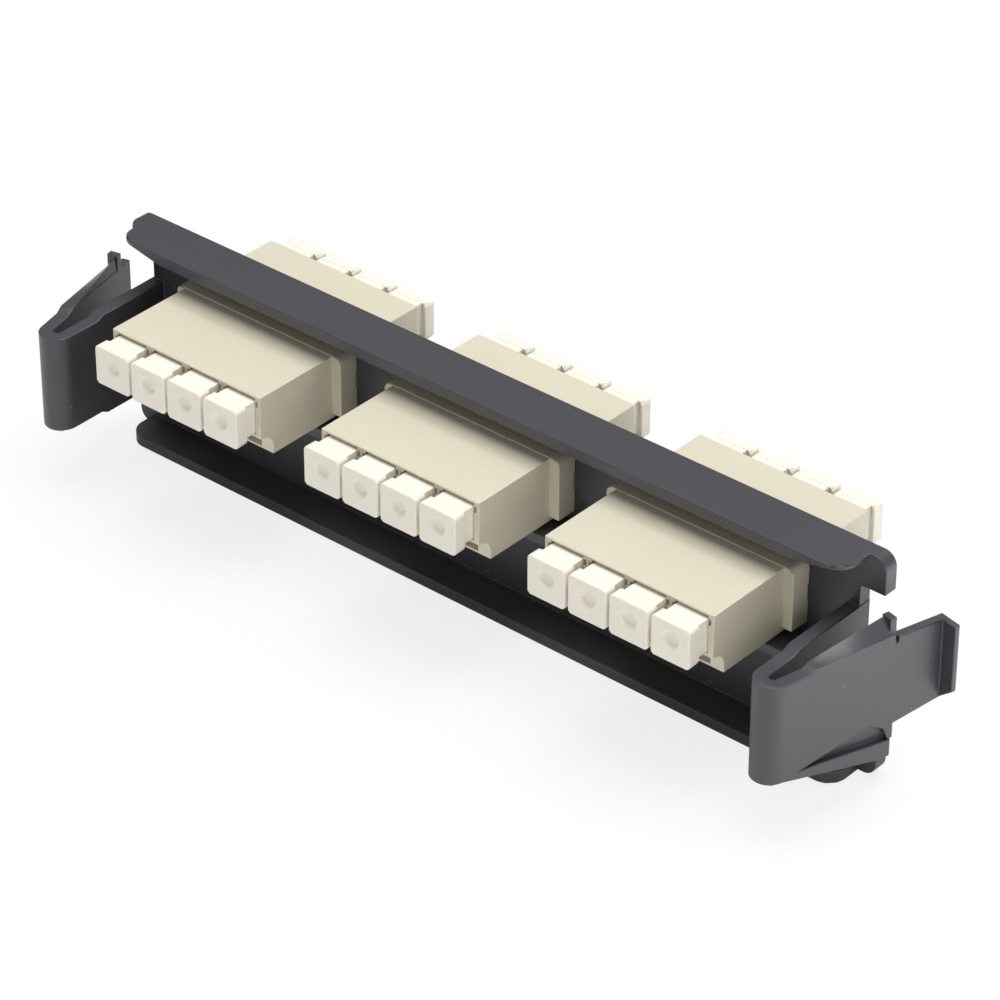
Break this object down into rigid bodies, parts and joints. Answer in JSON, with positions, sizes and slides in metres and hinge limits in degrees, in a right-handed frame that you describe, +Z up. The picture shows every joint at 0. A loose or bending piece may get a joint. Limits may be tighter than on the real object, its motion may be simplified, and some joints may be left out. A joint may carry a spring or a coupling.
{
  "type": "fibre adapter plate",
  "caption": "Snap-in plate with spring latches at both ends, holding fibre adapters with dust caps on their front and rear ports.",
  "frame": {"origin": "on the underside of the bottom ledge, in the plane of the web's front face, under the middle adapter", "axes": "+X along the plate to the right seen from the front, +Y to the rear, +Z up"},
  "size_m": [0.1318, 0.0363, 0.0311],
  "materials": {
    "plate_plastic": "fine satin black moulding",
    "adapter_plastic": "beige moulding",
    "cap_plastic": "white moulding",
    "spring_steel": "bare strip",
    "ceramic": "polished zirconia"
  },
  "bodies": {
    "plate": {"adapter_plate": "plate_plastic", "adapter_front_left": "adapter_plastic", "adapter_rear_left": "adapter_plastic", "clip_left_left": "spring_steel", "clip_left_right": "spring_steel", "sleeve_left_1": "ceramic", "sleeve_left_2": "ceramic", "sleeve_left_3": "ceramic", "sleeve_left_4": "ceramic", "adapter_front_middle": "adapter_plastic", "adapter_rear_middle": "adapter_plastic", "clip_middle_left": "spring_steel", "clip_middle_right": "spring_steel", "sleeve_middle_1": "ceramic", "sleeve_middle_2": "ceramic", "sleeve_middle_3": "ceramic", "sleeve_middle_4": "ceramic", "adapter_front_right": "adapter_plastic", "adapter_rear_right": "adapter_plastic", "clip_right_left": "spring_steel", "clip_right_right": "spring_steel", "sleeve_right_1": "ceramic", "sleeve_right_2": "ceramic", "sleeve_right_3": "ceramic", "sleeve_right_4": "ceramic"},
    "latch_left": {"latch_left": "plate_plastic"},
    "latch_right": {"latch_right": "plate_plastic"},
    "cap_front_left_1": {"cap_front_left_1": "cap_plastic"},
    "cap_front_left_2": {"cap_front_left_2": "cap_plastic"},
    "cap_front_left_3": {"cap_front_left_3": "cap_plastic"},
    "cap_front_left_4": {"cap_front_left_4": "cap_plastic"},
    "cap_front_middle_1": {"cap_front_middle_1": "cap_plastic"},
    "cap_front_middle_2": {"cap_front_middle_2": "cap_plastic"},
    "cap_front_middle_3": {"cap_front_middle_3": "cap_plastic"},
    "cap_front_middle_4": {"cap_front_middle_4": "cap_plastic"},
    "cap_front_right_1": {"cap_front_right_1": "cap_plastic"},
    "cap_front_right_2": {"cap_front_right_2": "cap_plastic"},
    "cap_front_right_3": {"cap_front_right_3": "cap_plastic"},
    "cap_front_right_4": {"cap_front_right_4": "cap_plastic"},
    "cap_rear_left_1": {"cap_rear_left_1": "cap_plastic"},
    "cap_rear_left_2": {"cap_rear_left_2": "cap_plastic"},
    "cap_rear_left_3": {"cap_rear_left_3": "cap_plastic"},
    "cap_rear_left_4": {"cap_rear_left_4": "cap_plastic"},
    "cap_rear_middle_1": {"cap_rear_middle_1": "cap_plastic"},
    "cap_rear_middle_2": {"cap_rear_middle_2": "cap_plastic"},
    "cap_rear_middle_3": {"cap_rear_middle_3": "cap_plastic"},
    "cap_rear_middle_4": {"cap_rear_middle_4": "cap_plastic"},
    "cap_rear_right_1": {"cap_rear_right_1": "cap_plastic"},
    "cap_rear_right_2": {"cap_rear_right_2": "cap_plastic"},
    "cap_rear_right_3": {"cap_rear_right_3": "cap_plastic"},
    "cap_rear_right_4": {"cap_rear_right_4": "cap_plastic"}
  },
  "joints": [
    {"name": "latch_left_flex", "type": "hinge", "parent": "plate", "child": "latch_left", "pos_m": [-0.0579, -0.017, 0.01575], "axis": [0, 0, 1], "range_deg": [-10, 0], "stiffness_Nm_per_rad": 0.5},
    {"name": "latch_right_flex", "type": "hinge", "parent": "plate", "child": "latch_right", "pos_m": [0.0579, -0.017, 0.01575], "axis": [0, 0, 1], "range_deg": [0, 10], "stiffness_Nm_per_rad": 0.5},
    {"name": "cap_front_left_1_pull", "type": "slide", "parent": "plate", "child": "cap_front_left_1", "axis": [0, -1, 0], "range_m": [0, 0.016]},
    {"name": "cap_front_left_2_pull", "type": "slide", "parent": "plate", "child": "cap_front_left_2", "axis": [0, -1, 0], "range_m": [0, 0.016]},
    {"name": "cap_front_left_3_pull", "type": "slide", "parent": "plate", "child": "cap_front_left_3", "axis": [0, -1, 0], "range_m": [0, 0.016]},
    {"name": "cap_front_left_4_pull", "type": "slide", "parent": "plate", "child": "cap_front_left_4", "axis": [0, -1, 0], "range_m": [0, 0.016]},
    {"name": "cap_front_middle_1_pull", "type": "slide", "parent": "plate", "child": "cap_front_middle_1", "axis": [0, -1, 0], "range_m": [0, 0.016]},
    {"name": "cap_front_middle_2_pull", "type": "slide", "parent": "plate", "child": "cap_front_middle_2", "axis": [0, -1, 0], "range_m": [0, 0.016]},
    {"name": "cap_front_middle_3_pull", "type": "slide", "parent": "plate", "child": "cap_front_middle_3", "axis": [0, -1, 0], "range_m": [0, 0.016]},
    {"name": "cap_front_middle_4_pull", "type": "slide", "parent": "plate", "child": "cap_front_middle_4", "axis": [0, -1, 0], "range_m": [0, 0.016]},
    {"name": "cap_front_right_1_pull", "type": "slide", "parent": "plate", "child": "cap_front_right_1", "axis": [0, -1, 0], "range_m": [0, 0.016]},
    {"name": "cap_front_right_2_pull", "type": "slide", "parent": "plate", "child": "cap_front_right_2", "axis": [0, -1, 0], "range_m": [0, 0.016]},
    {"name": "cap_front_right_3_pull", "type": "slide", "parent": "plate", "child": "cap_front_right_3", "axis": [0, -1, 0], "range_m": [0, 0.016]},
    {"name": "cap_front_right_4_pull", "type": "slide", "parent": "plate", "child": "cap_front_right_4", "axis": [0, -1, 0], "range_m": [0, 0.016]},
    {"name": "cap_rear_left_1_pull", "type": "slide", "parent": "plate", "child": "cap_rear_left_1", "axis": [0, 1, 0], "range_m": [0, 0.016]},
    {"name": "cap_rear_left_2_pull", "type": "slide", "parent": "plate", "child": "cap_rear_left_2", "axis": [0, 1, 0], "range_m": [0, 0.016]},
    {"name": "cap_rear_left_3_pull", "type": "slide", "parent": "plate", "child": "cap_rear_left_3", "axis": [0, 1, 0], "range_m": [0, 0.016]},
    {"name": "cap_rear_left_4_pull", "type": "slide", "parent": "plate", "child": "cap_rear_left_4", "axis": [0, 1, 0], "range_m": [0, 0.016]},
    {"name": "cap_rear_middle_1_pull", "type": "slide", "parent": "plate", "child": "cap_rear_middle_1", "axis": [0, 1, 0], "range_m": [0, 0.016]},
    {"name": "cap_rear_middle_2_pull", "type": "slide", "parent": "plate", "child": "cap_rear_middle_2", "axis": [0, 1, 0], "range_m": [0, 0.016]},
    {"name": "cap_rear_middle_3_pull", "type": "slide", "parent": "plate", "child": "cap_rear_middle_3", "axis": [0, 1, 0], "range_m": [0, 0.016]},
    {"name": "cap_rear_middle_4_pull", "type": "slide", "parent": "plate", "child": "cap_rear_middle_4", "axis": [0, 1, 0], "range_m": [0, 0.016]},
    {"name": "cap_rear_right_1_pull", "type": "slide", "parent": "plate", "child": "cap_rear_right_1", "axis": [0, 1, 0], "range_m": [0, 0.016]},
    {"name": "cap_rear_right_2_pull", "type": "slide", "parent": "plate", "child": "cap_rear_right_2", "axis": [0, 1, 0], "range_m": [0, 0.016]},
    {"name": "cap_rear_right_3_pull", "type": "slide", "parent": "plate", "child": "cap_rear_right_3", "axis": [0, 1, 0], "range_m": [0, 0.016]},
    {"name": "cap_rear_right_4_pull", "type": "slide", "parent": "plate", "child": "cap_rear_right_4", "axis": [0, 1, 0], "range_m": [0, 0.016]}
  ]
}
